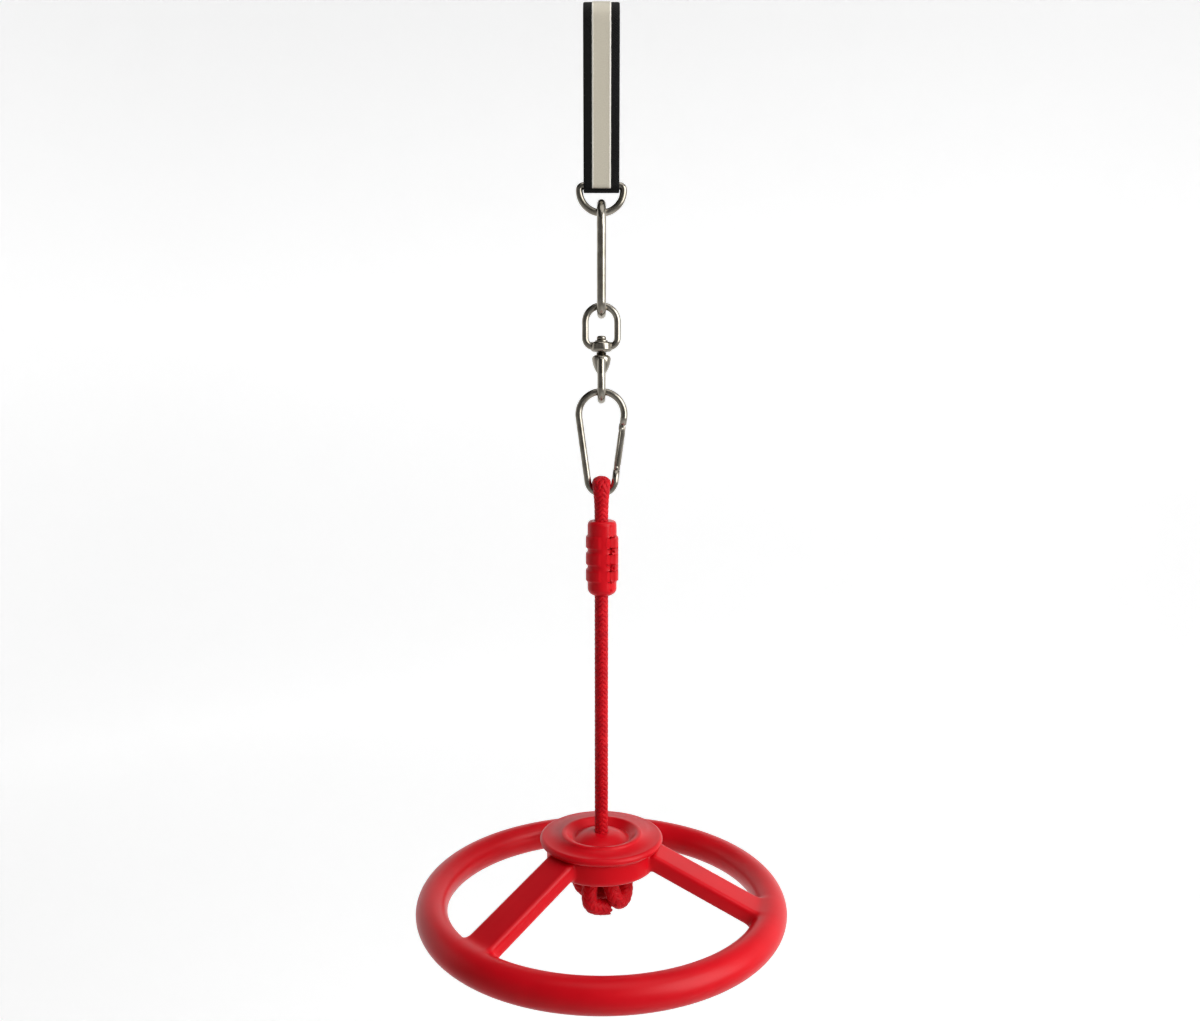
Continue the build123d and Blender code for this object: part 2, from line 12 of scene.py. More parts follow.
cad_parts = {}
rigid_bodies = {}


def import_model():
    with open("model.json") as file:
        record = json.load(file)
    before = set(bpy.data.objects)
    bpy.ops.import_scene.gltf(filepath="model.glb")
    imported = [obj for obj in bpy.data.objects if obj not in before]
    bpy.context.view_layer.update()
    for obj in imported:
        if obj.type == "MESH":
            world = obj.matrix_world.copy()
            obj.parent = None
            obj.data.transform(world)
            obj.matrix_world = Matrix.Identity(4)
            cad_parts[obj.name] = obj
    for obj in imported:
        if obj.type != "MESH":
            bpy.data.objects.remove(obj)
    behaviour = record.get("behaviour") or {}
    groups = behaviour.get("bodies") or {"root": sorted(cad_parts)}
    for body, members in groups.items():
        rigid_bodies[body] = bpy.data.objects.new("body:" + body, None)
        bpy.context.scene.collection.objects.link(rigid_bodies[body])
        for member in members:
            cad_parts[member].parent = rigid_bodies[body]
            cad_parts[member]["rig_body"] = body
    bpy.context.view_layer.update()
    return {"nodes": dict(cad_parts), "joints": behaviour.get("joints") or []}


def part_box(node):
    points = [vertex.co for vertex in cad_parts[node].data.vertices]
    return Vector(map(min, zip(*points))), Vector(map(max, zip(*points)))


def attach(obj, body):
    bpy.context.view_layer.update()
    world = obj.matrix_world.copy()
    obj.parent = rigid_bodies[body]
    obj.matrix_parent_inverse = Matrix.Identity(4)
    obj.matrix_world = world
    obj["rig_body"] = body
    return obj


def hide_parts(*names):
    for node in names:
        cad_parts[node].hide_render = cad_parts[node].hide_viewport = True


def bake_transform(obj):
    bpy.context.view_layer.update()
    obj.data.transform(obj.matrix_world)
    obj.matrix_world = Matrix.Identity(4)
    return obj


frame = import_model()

bl_info = {
    "name": "Hanging grip wheel",
    "version": (1, 0, 0),
    "blender": (4, 5, 0),
    "location": "View3D > Sidebar > Grip wheel",
    "description": "Builds the strap, metalwork, rope, clamp and wheel around the packed model",
    "category": "Object",
}

MM = 0.001


def joint_point(name):
    """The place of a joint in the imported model."""
    found = next(j for j in frame["joints"] if j["name"] == name)
    return Vector(found["pos_m"])


STRAP_LOW, STRAP_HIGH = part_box("strap_webbing")
TAPE_LOW, TAPE_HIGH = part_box("reflective_tape")
CLAMP_LOW, CLAMP_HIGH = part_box("rope_clamp_front")
WHEEL_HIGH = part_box("wheel_upper_shell")[1]
LOWER_SHELL_LOW, LOWER_SHELL_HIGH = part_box("wheel_lower_shell")
ROPE_LOW, ROPE_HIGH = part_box("rope")
D_BAR = joint_point("d_ring_swing").z
BARREL_BOTTOM = joint_point("wheel_spin").z
STRAP_INNER_TOP = 12.8 * MM
STRAP_INNER_BOTTOM = 2.8 * MM
TAPE_THICKNESS = 0.4 * MM
TAPE_BACK_END = -18 * MM
BARREL_RADIUS = 40.5 * MM
ROPE_HOLE = 5.3 * MM
PARTING_HEIGHT = LOWER_SHELL_HIGH.z
CREST_HEIGHT = 2 * MM
FLANGE_HEIGHT = 5.5 * MM
SPOKE_ANGLES = (105, 225, 345)
METAL_NODES = ("d_ring", "swivel_upper_eye", "swivel_washer", "swivel_rivet", "swivel_lower_eye",
               *(f"{hook}_{part}" for hook in ("upper_hook", "lower_hook")
                 for part in ("body", "gate", "hinge_pin", "latch_pin")))


# ---------------------------------------------------------------- sizes and colours
def length_property(name, description, default):
    return FloatProperty(name=name, description=description, default=default, unit="LENGTH", subtype="DISTANCE")


def colour_property(name, description, code):
    return FloatVectorProperty(name=name, description=description, default=linear(code), subtype="COLOR",
                               size=4, min=0, max=1)


def linear(code):
    """An sRGB hex colour as linear RGBA."""
    parts = [int(code[i:i + 2], 16) / 255 for i in (1, 3, 5)]
    return (*[c / 12.92 if c <= 0.04045 else ((c + 0.055) / 1.055) ** 2.4 for c in parts], 1.0)


class StrapSizes(bpy.types.PropertyGroup):
    width: length_property("Width", "Width of the webbing", STRAP_HIGH.x - STRAP_LOW.x)
    thickness: length_property("Thickness", "Thickness of the webbing", 2.2 * MM)
    tape_width: length_property("Tape width", "Width of the reflective tape", TAPE_HIGH.x - TAPE_LOW.x)
    stitch: length_property("Stitch", "Length of one stitch", 3.0 * MM)
    webbing_colour: colour_property("Webbing", "Colour of the webbing", "#0B0A09")
    tape_colour: colour_property("Tape", "Colour of the reflective tape", "#D6CFBE")


class MetalSizes(bpy.types.PropertyGroup):
    colour: colour_property("Nickel", "Colour of the plated steel", "#A8A297")
    roughness: FloatProperty(name="Roughness", description="Roughness of the plating", default=0.17, min=0, max=1)


class RopeSizes(bpy.types.PropertyGroup):
    diameter: length_property("Diameter", "Thickness of the rope", ROPE_HIGH.x - ROPE_LOW.x)
    strands: IntProperty(name="Strands", description="Strands of the braid, half each way", default=16, min=4)
    lay: length_property("Lay", "Length in which a strand goes once round", 29 * MM)
    colour: colour_property("Fibre", "Colour of the rope's fibre", "#CC0D1A")


class WheelSizes(bpy.types.PropertyGroup):
    tube: length_property("Tube", "Radius of the rim's tube", 11.5 * MM)
    spoke_width: length_property("Spoke width", "Width of a spoke", 25 * MM)
    spoke_thickness: length_property("Spoke thickness", "Thickness of a spoke", 12 * MM)
    blend: length_property("Blend", "Softness of the joins of spokes, rim and hub", 2 * MM)
    mesh_size: length_property("Mesh size", "Size of a face", 1.3 * MM)
    colour: colour_property("Plastic", "Colour of the moulded plastic", "#D9091A")


class StageSizes(bpy.types.PropertyGroup):
    distance: length_property("Distance", "Camera to the rope's axis", 0.718)
    height: length_property("Height", "Height of the camera", -0.2661)
    pitch: FloatProperty(name="Pitch", description="Downward tilt of the camera", default=math.radians(5.5),
                         subtype="ANGLE")
    key_power: FloatProperty(name="Key", description="Power of the large light on the right, in watts", default=16)
    fill_power: FloatProperty(name="Fill", description="Power of the light on the left, in watts", default=0.2)


# ---------------------------------------------------------------- materials
def add_node(tree, kind, settings=None, **inputs):
    """A node with its settings; an input is a socket to link or a value to hold."""
    made = tree.nodes.new(kind)
    for key, value in (settings or {}).items():
        setattr(made, key, value)
    for key, value in inputs.items():
        socket = made.inputs[int(key[1:])] if key[0] == "_" else made.inputs[key.replace("_", " ")]
        if isinstance(value, bpy.types.NodeSocket):
            tree.links.new(value, socket)
        else:
            socket.default_value = value
    return made


def new_material(name):
    """An empty node material with its shader and output."""
    made = bpy.data.materials.new(name)
    made.use_nodes = True
    made.node_tree.nodes.clear()
    shader = add_node(made.node_tree, "ShaderNodeBsdfPrincipled")
    add_node(made.node_tree, "ShaderNodeOutputMaterial", Surface=shader.outputs["BSDF"])
    return made, made.node_tree, shader


def ramp(tree, factor, *stops):
    """A colour ramp with stops of (place, colour)."""
    made = add_node(tree, "ShaderNodeValToRGB", Fac=factor)
    points = made.color_ramp.elements
    while len(points) < len(stops):
        points.new(0.5)
    for point, (place, colour) in zip(points, stops):
        point.position = place
        point.color = colour
    return made.outputs["Color"]


def nickel_steel():
    """Nickel-plated steel wire, tumbled bright: sharp reflections, a warm tint and faint drawing marks."""
    made, tree, shader = new_material("nickel_plated_steel")
    sizes = bpy.context.scene.grip_metal
    where = add_node(tree, "ShaderNodeTexCoord").outputs["Object"]
    blotches = add_node(tree, "ShaderNodeTexNoise", Vector=where, Scale=1 / (9 * MM), Detail=3.0)
    marks = add_node(tree, "ShaderNodeTexNoise", Vector=where, Scale=1 / (0.5 * MM), Detail=2.0)
    rough = add_node(tree, "ShaderNodeMapRange", Value=blotches.outputs["Fac"], To_Min=0.75 * sizes.roughness,
                     To_Max=1.5 * sizes.roughness)
    tint = ramp(tree, blotches.outputs["Fac"], (0.35, linear("#8E887C")), (0.65, tuple(sizes.colour)))
    bump = add_node(tree, "ShaderNodeBump", Height=marks.outputs["Fac"], Strength=0.05, Distance=0.05 * MM)
    shader.inputs["Metallic"].default_value = 1.0
    tree.links.new(tint, shader.inputs["Base Color"])
    tree.links.new(rough.outputs["Result"], shader.inputs["Roughness"])
    tree.links.new(bump.outputs["Normal"], shader.inputs["Normal"])
    return made


def black_thread():
    return sewing_thread("black_polyester_thread", "#2C2B2A")


def pale_thread():
    return sewing_thread("pale_polyester_thread", "#EFE9DC")


def spring_wire():
    """Hard-drawn spring steel: grey, semi-bright, with fine lines along the wire."""
    made, tree, shader = new_material("hard_drawn_spring_steel")
    where = add_node(tree, "ShaderNodeTexCoord").outputs["Object"]
    marks = add_node(tree, "ShaderNodeTexNoise", Vector=where, Scale=1 / (0.3 * MM))
    tint = ramp(tree, marks.outputs["Fac"], (0.3, linear("#7E7F84")), (0.7, linear("#A4A5A9")))
    tree.links.new(tint, shader.inputs["Base Color"])
    shader.inputs["Metallic"].default_value = 1.0
    shader.inputs["Roughness"].default_value = 0.3
    return made


def webbing_cloth():
    """Woven polyester webbing: ribs across the strap, nearly black, painted darker in the weave's hollows as painted
    shade, with a dull sheen on each yarn.
    """
    made, tree, shader = new_material("woven_polyester_webbing")
    sizes = bpy.context.scene.grip_strap
    flat = add_node(tree, "ShaderNodeUVMap", {"uv_map": "along"}).outputs["UV"]
    split = add_node(tree, "ShaderNodeSeparateXYZ", Vector=flat)
    # yarns 1.1 mm wide along the strap, picks every 0.8 mm across it; the UV map is in millimetres
    across = add_node(tree, "ShaderNodeMath", {"operation": "MULTIPLY"}, _0=split.outputs["X"], _1=math.tau / 2.2)
    along = add_node(tree, "ShaderNodeMath", {"operation": "MULTIPLY"}, _0=split.outputs["Y"], _1=math.tau / 1.6)
    yarn = add_node(tree, "ShaderNodeMath", {"operation": "SINE"}, _0=across.outputs[0])
    pick = add_node(tree, "ShaderNodeMath", {"operation": "SINE"}, _0=along.outputs[0])
    weave = add_node(tree, "ShaderNodeMath", {"operation": "MULTIPLY"}, _0=yarn.outputs[0], _1=pick.outputs[0])
    fuzz = add_node(tree, "ShaderNodeTexNoise", Vector=flat, Scale=2.5, Detail=3.0)
    height = add_node(tree, "ShaderNodeMath", {"operation": "ADD"}, _0=weave.outputs[0], _1=fuzz.outputs["Fac"])
    bump = add_node(tree, "ShaderNodeBump", Height=height.outputs[0], Strength=0.7, Distance=0.25 * MM)
    # painted shade: the colour follows the weave's height, darkest in its hollows
    level = add_node(tree, "ShaderNodeMapRange", Value=weave.outputs[0], From_Min=-1.0)
    tint = ramp(tree, level.outputs["Result"], (0.0, linear("#030303")), (1.0, tuple(sizes.webbing_colour)))
    tree.links.new(tint, shader.inputs["Base Color"])
    tree.links.new(bump.outputs["Normal"], shader.inputs["Normal"])
    shader.inputs["Roughness"].default_value = 0.72
    shader.inputs["Sheen Weight"].default_value = 0.02
    shader.inputs["Specular IOR Level"].default_value = 0.2
    return made


def reflective_tape():
    """Glass-bead reflective tape: pale warm grey, slightly silvery, with a brighter selvedge at each edge."""
    made, tree, shader = new_material("glass_bead_reflective_tape")
    sizes = bpy.context.scene.grip_strap
    flat = add_node(tree, "ShaderNodeUVMap", {"uv_map": "along"}).outputs["UV"]
    split = add_node(tree, "ShaderNodeSeparateXYZ", Vector=flat)
    side = add_node(tree, "ShaderNodeMath", {"operation": "ABSOLUTE"}, _0=split.outputs["X"])
    half = sizes.tape_width / MM / 2
    edge = add_node(tree, "ShaderNodeMapRange", Value=side.outputs[0], From_Min=half - 1.1, From_Max=half - 0.7)
    beads = add_node(tree, "ShaderNodeTexNoise", Vector=flat, Scale=1.6, Detail=4.0)
    ribs = add_node(tree, "ShaderNodeTexWave", {"bands_direction": "Y"}, Vector=flat, Scale=0.55, Distortion=0.4)
    dull = ramp(tree, beads.outputs["Fac"], (0.3, linear("#C6BEAB")), (0.7, tuple(sizes.tape_colour)))
    tint = add_node(tree, "ShaderNodeMix", {"data_type": "RGBA"}, _0=edge.outputs["Result"], _6=dull,
                    _7=linear("#F4F0E6"))
    bump = add_node(tree, "ShaderNodeBump", Height=ribs.outputs["Fac"], Strength=0.25, Distance=0.1 * MM)
    tree.links.new(tint.outputs[2], shader.inputs["Base Color"])
    tree.links.new(bump.outputs["Normal"], shader.inputs["Normal"])
    shader.inputs["Roughness"].default_value = 0.48
    shader.inputs["Metallic"].default_value = 0.15
    return made


def sewing_thread(name, code):
    """Bonded polyester thread, twisted, with a soft gloss."""
    made, tree, shader = new_material(name)
    where = add_node(tree, "ShaderNodeTexCoord").outputs["Object"]
    twist = add_node(tree, "ShaderNodeTexNoise", Vector=where, Scale=1 / (0.4 * MM))
    tint = ramp(tree, twist.outputs["Fac"], (0.1, linear("#0A0A0A")), (0.45, linear(code)))
    tree.links.new(tint, shader.inputs["Base Color"])
    shader.inputs["Roughness"].default_value = 0.5
    return made


def rope_fibre():
    """Braided polypropylene multifilament: glossy red yarns with fine filaments along each strand."""
    made, tree, shader = new_material("braided_polypropylene")
    sizes = bpy.context.scene.grip_rope
    flat = add_node(tree, "ShaderNodeUVMap", {"uv_map": "along"}).outputs["UV"]
    # the UV map runs round the strand (x, 0 to 1) and along it (y, in millimetres)
    stretched = add_node(tree, "ShaderNodeMapping", Vector=flat, Scale=(14.0, 0.5, 1.0))
    filaments = add_node(tree, "ShaderNodeTexNoise", Vector=stretched.outputs["Vector"], Scale=1.0, Detail=3.0)
    where = add_node(tree, "ShaderNodeTexCoord").outputs["Object"]
    patches = add_node(tree, "ShaderNodeTexNoise", Vector=where, Scale=1 / (6 * MM), Detail=2.0)
    both = add_node(tree, "ShaderNodeMath", {"operation": "MULTIPLY"}, _0=filaments.outputs["Fac"],
                    _1=patches.outputs["Fac"])
    tint = ramp(tree, both.outputs[0], (0.05, linear("#A3081A")), (0.3, tuple(sizes.colour)),
                (0.5, linear("#DE2630")))
    bump = add_node(tree, "ShaderNodeBump", Height=filaments.outputs["Fac"], Strength=0.5, Distance=0.12 * MM)
    tree.links.new(tint, shader.inputs["Base Color"])
    tree.links.new(bump.outputs["Normal"], shader.inputs["Normal"])
    shader.inputs["Roughness"].default_value = 0.45
    shader.inputs["Specular IOR Level"].default_value = 0.12
    return made


def moulded_plastic():
    """Injection-moulded polyethylene: even red, a satin skin with very slight orange peel and rubbed patches."""
    made, tree, shader = new_material("moulded_polyethylene")
    sizes = bpy.context.scene.grip_wheel
    where = add_node(tree, "ShaderNodeTexCoord").outputs["Object"]
    # orange peel about 1 mm across, drawn at 2.5 mm so that it shows
    peel = add_node(tree, "ShaderNodeTexNoise", Vector=where, Scale=1 / (2.5 * MM), Detail=2.0)
    rubbed = add_node(tree, "ShaderNodeTexNoise", Vector=where, Scale=1 / (35 * MM), Detail=4.0)
    rough = add_node(tree, "ShaderNodeMapRange", Value=rubbed.outputs["Fac"], To_Min=0.26, To_Max=0.42)
    tint = ramp(tree, rubbed.outputs["Fac"], (0.3, linear("#CC0616")), (0.7, tuple(sizes.colour)))
    # the mould's halves leave a fine line round the rim
    height = add_node(tree, "ShaderNodeSeparateXYZ", Vector=where).outputs["Z"]
    off = add_node(tree, "ShaderNodeMath", {"operation": "SUBTRACT"}, _0=height, _1=PARTING_HEIGHT)
    near = add_node(tree, "ShaderNodeMath", {"operation": "ABSOLUTE"}, _0=off.outputs[0])
    line = add_node(tree, "ShaderNodeMapRange", Value=near.outputs[0], From_Min=0.15 * MM, From_Max=0.4 * MM,
                    To_Min=-1.5, To_Max=0.0)
    relief = add_node(tree, "ShaderNodeMath", {"operation": "ADD"}, _0=peel.outputs["Fac"], _1=line.outputs["Result"])
    bump = add_node(tree, "ShaderNodeBump", Height=relief.outputs[0], Strength=0.12, Distance=0.15 * MM)
    tree.links.new(tint, shader.inputs["Base Color"])
    tree.links.new(rough.outputs["Result"], shader.inputs["Roughness"])
    tree.links.new(bump.outputs["Normal"], shader.inputs["Normal"])
    shader.inputs["Specular IOR Level"].default_value = 0.2
    return made


def plain_floor():
    """Matt white paper sweep that glows as painted light, more at the back and on the right, and is painted grey in
    front as painted shade.
    """
    made, tree, shader = new_material("white_paper_sweep")
    split = add_node(tree, "ShaderNodeSeparateXYZ", Vector=add_node(tree, "ShaderNodeTexCoord").outputs["Object"])
    # painted light: the sweep glows, more towards the back and on the right
    side = add_node(tree, "ShaderNodeMapRange", Value=split.outputs["X"], From_Min=-2.0, From_Max=2.0, To_Min=0.0,
                    To_Max=0.1)
    back = add_node(tree, "ShaderNodeMapRange", Value=split.outputs["Y"], From_Min=0.1, From_Max=0.9, To_Min=0.0,
                    To_Max=0.42)
    glow = add_node(tree, "ShaderNodeMath", {"operation": "ADD"}, _0=side.outputs[0], _1=back.outputs[0])
    # painted shade: the wall is painted grey in front and higher up, so that the metal has something dark to mirror
    front = add_node(tree, "ShaderNodeMapRange", Value=split.outputs["Y"], From_Min=0.6, From_Max=-0.8)
    high = add_node(tree, "ShaderNodeMapRange", Value=split.outputs["Z"], From_Min=-1.3, From_Max=-0.3)
    shade = add_node(tree, "ShaderNodeMath", {"operation": "MULTIPLY"}, _0=front.outputs[0], _1=high.outputs[0])
    tint = ramp(tree, shade.outputs[0], (0.0, linear("#FFFFFF")), (1.0, linear("#969696")))
    tree.links.new(tint, shader.inputs["Base Color"])
    shader.inputs["Roughness"].default_value = 1.0
    shader.inputs["Emission Color"].default_value = linear("#FFFFFF")
    tree.links.new(glow.outputs[0], shader.inputs["Emission Strength"])
    return made


def material(name, make):
    """The named material, made once."""
    return bpy.data.materials.get(name) or make()


# ---------------------------------------------------------------- mesh helpers
def new_piece(name, bm, made, body):
    """A finished mesh as a piece on a body."""
    bmesh.ops.remove_doubles(bm, verts=bm.verts, dist=1e-6)
    bmesh.ops.recalc_face_normals(bm, faces=bm.faces)
    mesh = bpy.data.meshes.new(name)
    bm.to_mesh(mesh)
    bm.free()
    for face in mesh.polygons:
        face.use_smooth = True
    mesh.materials.append(made)
    piece = bpy.data.objects.new(name, mesh)
    bpy.context.scene.collection.objects.link(piece)
    if body:
        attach(piece, body)
    return piece


def smooth_copy(node, made, angle=35):
    """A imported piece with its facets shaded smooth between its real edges."""
    source = frame["nodes"][node]
    bm = bmesh.new()
    bm.from_mesh(source.data)
    bmesh.ops.remove_doubles(bm, verts=bm.verts, dist=2e-6)
    mesh = bpy.data.meshes.new(node + "_finished")
    bm.to_mesh(mesh)
    bm.free()
    mesh.materials.clear()
    mesh.materials.append(made)
    mesh.shade_smooth()
    mesh.set_sharp_from_angle(angle=math.radians(angle))
    piece = bpy.data.objects.new(node + "_finished", mesh)
    bpy.context.scene.collection.objects.link(piece)
    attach(piece, source["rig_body"])
    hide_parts(node)
    return piece


# ---------------------------------------------------------------- camera and stage
class BuildStage(bpy.types.Operator):
    """Add the camera, the soft lights and the white sweep"""

    bl_idname = "grip.build_stage"
    bl_label = "Stage"

    def execute(self, context):
        sizes = context.scene.grip_stage
        camera_data = bpy.data.cameras.new("camera")
        camera_data.lens = 30
        camera_data.sensor_width = 36
        camera_data.clip_end = 20
        camera = bpy.data.objects.new("camera", camera_data)
        camera.location = (-0.001, -sizes.distance, sizes.height)
        camera.rotation_euler = (math.pi / 2 - sizes.pitch, 0, 0)
        context.scene.collection.objects.link(camera)
        context.scene.camera = camera

        world = bpy.data.worlds.new("soft_room")
        world.use_nodes = True
        tree = world.node_tree
        split = add_node(tree, "ShaderNodeSeparateXYZ", Vector=add_node(tree, "ShaderNodeTexCoord").outputs[0])
        level = add_node(tree, "ShaderNodeMapRange", Value=split.outputs["X"], From_Min=-0.8, From_Max=0.8,
                         To_Min=0.0, To_Max=0.26)
        background = tree.nodes["Background"]
        background.inputs["Color"].default_value = linear("#FFFFFF")
        tree.links.new(level.outputs["Result"], background.inputs["Strength"])
        context.scene.world = world
        context.scene.view_settings.view_transform = "Standard"

        self.light("key", (0.95, -0.55, 0.05), (0, 0, -0.35), (0.9, 1.3), sizes.key_power)
        self.light("top", (0.15, -0.1, 0.75), (0, 0, -0.4), (0.9, 0.9), 3.2)
        self.light("fill", (-0.9, -0.8, -0.1), (0, 0, -0.45), (0.5, 1.2), sizes.fill_power)
        self.light("front", (0.9, -1.4, 0.3), (0, 0, -0.4), (0.7, 0.7), 2.4)

        # a round floor that curves up into a wall on all sides
        bm = bmesh.new()
        corners = [bm.verts.new((x, 0, -1.35)) for x in (0.0, 3.0)]
        bm.edges.new(corners)
        turned = bmesh.ops.spin(bm, geom=[corners[1]], cent=(3.0, 0, 0.15), axis=(0, -1, 0), angle=math.pi / 2,
                                steps=12)
        last = [v for v in turned["geom_last"] if isinstance(v, bmesh.types.BMVert)]
        raised = bmesh.ops.extrude_vert_indiv(bm, verts=last)
        bmesh.ops.translate(bm, verts=raised["verts"], vec=(0, 0, 2.5))
        bmesh.ops.spin(bm, geom=bm.verts[:] + bm.edges[:], cent=(0, 0, 0), axis=(0, 0, 1), angle=math.tau,
                       steps=96, use_merge=True)
        bmesh.ops.remove_doubles(bm, verts=bm.verts, dist=1e-5)
        bmesh.ops.recalc_face_normals(bm, faces=bm.faces)
        mesh = bpy.data.meshes.new("sweep")
        bm.to_mesh(mesh)
        bm.free()
        mesh.shade_smooth()
        mesh.materials.append(plain_floor())
        sweep = bpy.data.objects.new("sweep", mesh)
        context.scene.collection.objects.link(sweep)
        return {"FINISHED"}

    def light(self, name, place, target, size, power):
        data = bpy.data.lights.new(name, "AREA")
        data.shape = "RECTANGLE"
        data.size, data.size_y = size
        data.energy = power
        lamp = bpy.data.objects.new(name, data)
        lamp.location = place
        lamp.rotation_euler = (Vector(target) - Vector(place)).to_track_quat("-Z", "Y").to_euler()
        bpy.context.scene.collection.objects.link(lamp)


# ---------------------------------------------------------------- rope
# the rope's route: from its tail in the clamp, over the lower hook, back through the clamp, down to the hub
ROUTE = [
    (0, 5.2, -392.4), (0, 5.2, -337.4), (0, 7.9, -323.9), (0, 7.9, -315.1), (0, -7.9, -315.1),
    (0, -7.9, -323.9), (0, -5.2, -337.4), (0, -5.2, -406.4), (0, 0, -440.4), (0, 0, -569.0),
]


# a stopper knot under the hub: a bight down on the right, round the back, and down on the left to the front
KNOT = [
    (0, 0, -604), (4, -5, -608), (8, -11, -615), (11, -12, -624), (17, -7, -624), (18.5, 2, -614), (12, 10, -609),
    (0, 12.5, -608), (-12, 10, -609), (-17, 1, -612), (-14, -1, -618), (-6, 0, -622), (4, 3, -623), (7, 3, -617),
    (0, 2, -610), (-8, -8, -609), (-9, -13, -617), (-8.5, -14, -625), (-2, -12.5, -628), (5, -9, -629),
]


def spline_points(name, route, per_span=24):
    """Points along the smooth spline that has the route as its control points."""
    data = bpy.data.curves.new(name, "CURVE")
    data.dimensions = "3D"
    data.resolution_u = per_span
    spline = data.splines.new("NURBS")
    spline.points.add(len(route) - 1)
    for point, place in zip(spline.points, route):
        point.co = (*[c * MM for c in place], 1)
    spline.order_u = 3
    spline.use_endpoint_u = True
    curve = bpy.data.objects.new(name, data)
    bpy.context.scene.collection.objects.link(curve)
    bpy.context.view_layer.update()
    mesh = bpy.data.meshes.new_from_object(curve.evaluated_get(bpy.context.evaluated_depsgraph_get()))
    points = np.array([v.co for v in mesh.vertices], float)
    bpy.data.objects.remove(curve)
    bpy.data.meshes.remove(mesh)
    return points


def even_points(points, spacing):
    """The same line with points a set distance apart, and how far along each lies."""
    steps = np.linalg.norm(np.diff(points, axis=0), axis=1)
    keep = np.concatenate([[True], steps > 1e-9])
    points = points[keep]
    reach = np.concatenate([[0], np.cumsum(np.linalg.norm(np.diff(points, axis=0), axis=1))])
    places = np.linspace(0, reach[-1], int(reach[-1] / spacing) + 1)
    return np.stack([np.interp(places, reach, points[:, i]) for i in range(3)], 1), places


def carried_frames(points):
    """Two directions square to the line at each point, turned as little as possible from one to the next."""
    along = np.gradient(points, axis=0)
    along /= np.linalg.norm(along, axis=1)[:, None]
    first = np.cross(along[0], (1, 0, 0))
    first /= np.linalg.norm(first)
    sides = [first]
    for direction in along[1:]:
        side = sides[-1] - direction * np.dot(sides[-1], direction)
        sides.append(side / np.linalg.norm(side))
    sides = np.array(sides)
    return along, sides, np.cross(along, sides)


def tube_rings(bm, flat, rings, reach):
    """Closed tube through rings of points, with a UV map round and along it."""
    made = [[bm.verts.new(p) for p in ring] for ring in rings]
    count = len(made[0])
    for low, high, start, stop in zip(made, made[1:], reach, reach[1:]):
        for i in range(count):
            j = (i + 1) % count
            face = bm.faces.new((low[i], low[j], high[j], high[i]))
            for loop, uv in zip(face.loops, ((i, start), (i + 1, start), (i + 1, stop), (i, stop))):
                loop[flat].uv = (uv[0] / count, uv[1] / MM)
    bm.faces.new(made[0][::-1])
    bm.faces.new(made[-1])


POINT_SPACING = 0.9 * MM
HOOK_SPREAD = 0.42
HOOK_SPREAD_LENGTH = 15 * MM
KNOT_TOP = -0.606
KNOT_SWELL = 0.2
KNOT_SWELL_LENGTH = 6 * MM
STRAND_HEIGHT = 0.72 * MM
STRAND_WEAVE = 0.15 * MM
STRAND_LAP = 0.74
STRAND_SIDES = 8
CORE_SIDES = 12
CORE_INSET = 1.1 * MM


class BuildRope(bpy.types.Operator):
    """Braid the rope along its route, from the clamp to its knot under the hub"""

    bl_idname = "grip.build_rope"
    bl_label = "Rope"

    def execute(self, context):
        sizes = context.scene.grip_rope
        points, reach = even_points(spline_points("rope_route", ROUTE + KNOT), POINT_SPACING)
        along, side, other = carried_frames(points)
        # the rope spreads flat where it bears on the hook, and swells where the knot bends it
        top = reach[np.argmax(points[:, 2])]
        spread = 1 + HOOK_SPREAD * np.exp(-((reach - top) / HOOK_SPREAD_LENGTH) ** 2)
        swell = 1 + KNOT_SWELL * np.clip((KNOT_TOP - points[:, 2]) / KNOT_SWELL_LENGTH, 0, 1)
        radius = sizes.diameter / 2
        strands = sizes.strands
        strand_wide = math.tau * radius / strands * 0.98
        middle = radius - STRAND_HEIGHT - 0.1 * MM
        bm = bmesh.new()
        flat = bm.loops.layers.uv.new("along")
        section = [math.tau * k / STRAND_SIDES for k in range(STRAND_SIDES)]
        for number in range(strands):
            hand = 1 if number % 2 else -1
            start = math.tau * (number // 2) / (strands / 2)
            turn = start + hand * math.tau * reach / sizes.lay
            # each strand passes over two of the other hand, then under two
            crossing = 2 * (number // 2) + hand * strands * reach / sizes.lay
            lift = middle + STRAND_WEAVE * hand * np.cos(math.pi / 2 * crossing - math.pi / 4)
            out = np.cos(turn)[:, None] * side + np.sin(turn)[:, None] * other
            lean = out * lift[:, None] * swell[:, None]
            lean[:, 0] *= spread
            centre = points + lean
            run = np.gradient(centre, axis=0)
            run /= np.linalg.norm(run, axis=1)[:, None]
            across = np.cross(run, out)
            across /= np.linalg.norm(across, axis=1)[:, None]
            wide = strand_wide * STRAND_LAP * swell * (1 + 0.7 * (spread - 1))
            rings = [[centre[i] + across[i] * wide[i] * math.cos(a) + out[i] * STRAND_HEIGHT * math.sin(a)
                      for a in section] for i in range(len(points))]
            tube_rings(bm, flat, rings, reach)
        section = [math.tau * k / CORE_SIDES for k in range(CORE_SIDES)]
        core = [[points[i] + (side[i] * math.cos(a) + other[i] * math.sin(a)) * (radius - CORE_INSET)
                 for a in section] for i in range(0, len(points), 2)]
        tube_rings(bm, flat, core, reach[::2])
        piece = new_piece("rope_braid", bm, material("braided_polypropylene", rope_fibre), None)
        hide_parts("rope", "rope_in_hub", "rope_knot")
        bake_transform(piece)
        return {"FINISHED"}


